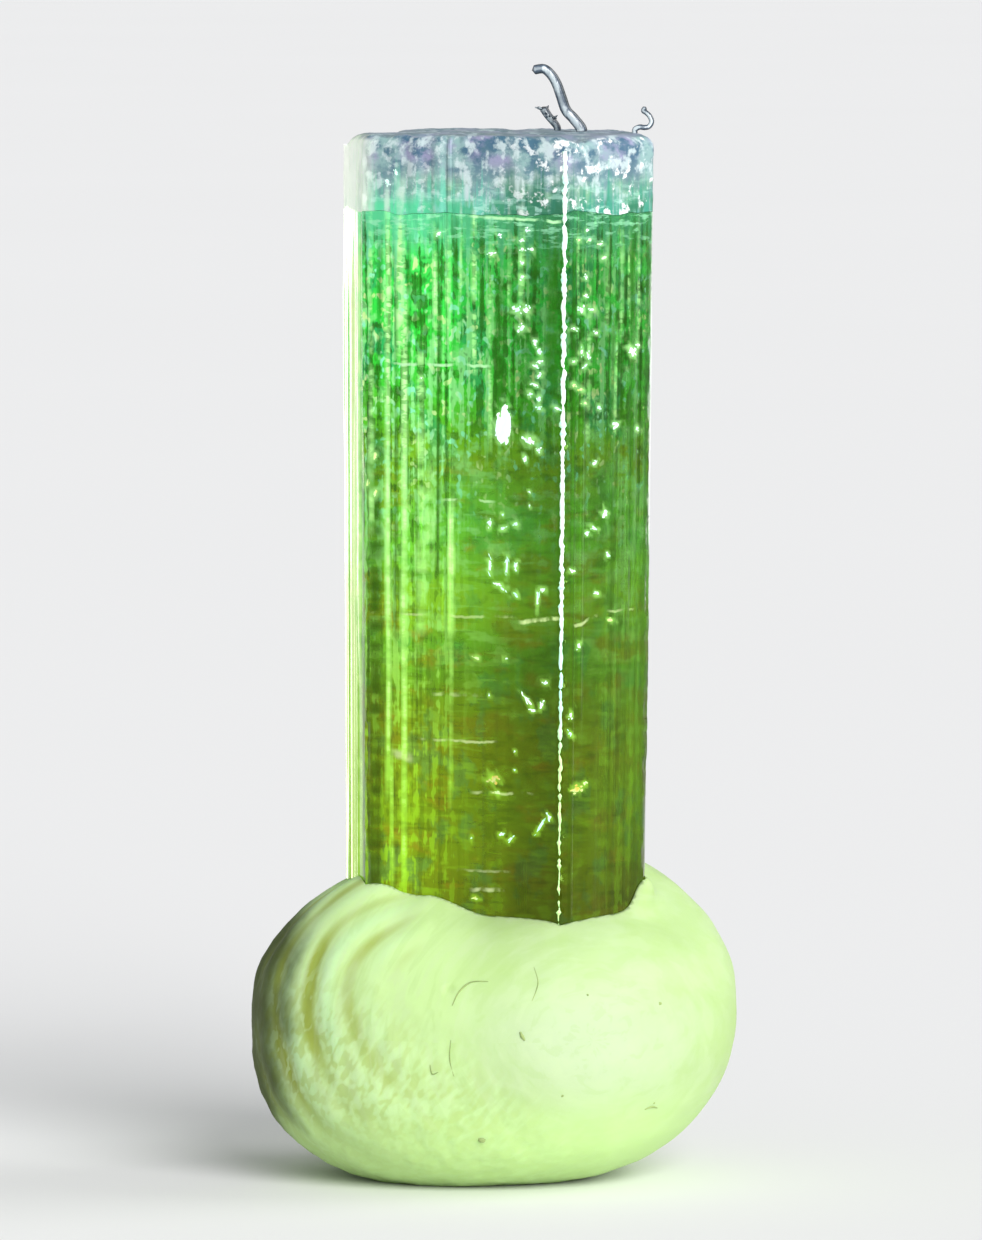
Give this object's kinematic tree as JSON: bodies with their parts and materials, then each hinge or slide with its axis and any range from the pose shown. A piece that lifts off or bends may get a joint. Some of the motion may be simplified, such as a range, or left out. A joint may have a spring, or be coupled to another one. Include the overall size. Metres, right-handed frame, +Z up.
{
  "type": "tourmaline crystal on mounting putty",
  "caption": "Upright six-sided green gem crystal with ribbed faces and a frosted top, its foot pressed into a squeezed ball of pale putty; curled clear filaments on the top.",
  "frame": {"origin": "on the surface that the putty rests on, under the middle of the putty", "axes": "+Z up along the crystal, front towards -Y, +X to the right of the front view"},
  "size_m": [0.0052, 0.0046, 0.0121],
  "materials": {
    "tourmaline": "clear green gem, glossy, with frosted grey top",
    "putty": "soft matt putty with finger ridges",
    "clear_filament": "clear glossy fibre"
  },
  "bodies": {
    "root": {"tourmaline_crystal": "tourmaline", "putty_base": "putty", "curled_filament": "clear_filament", "short_filament": "clear_filament", "hooked_filament": "clear_filament"}
  },
  "joints": []
}
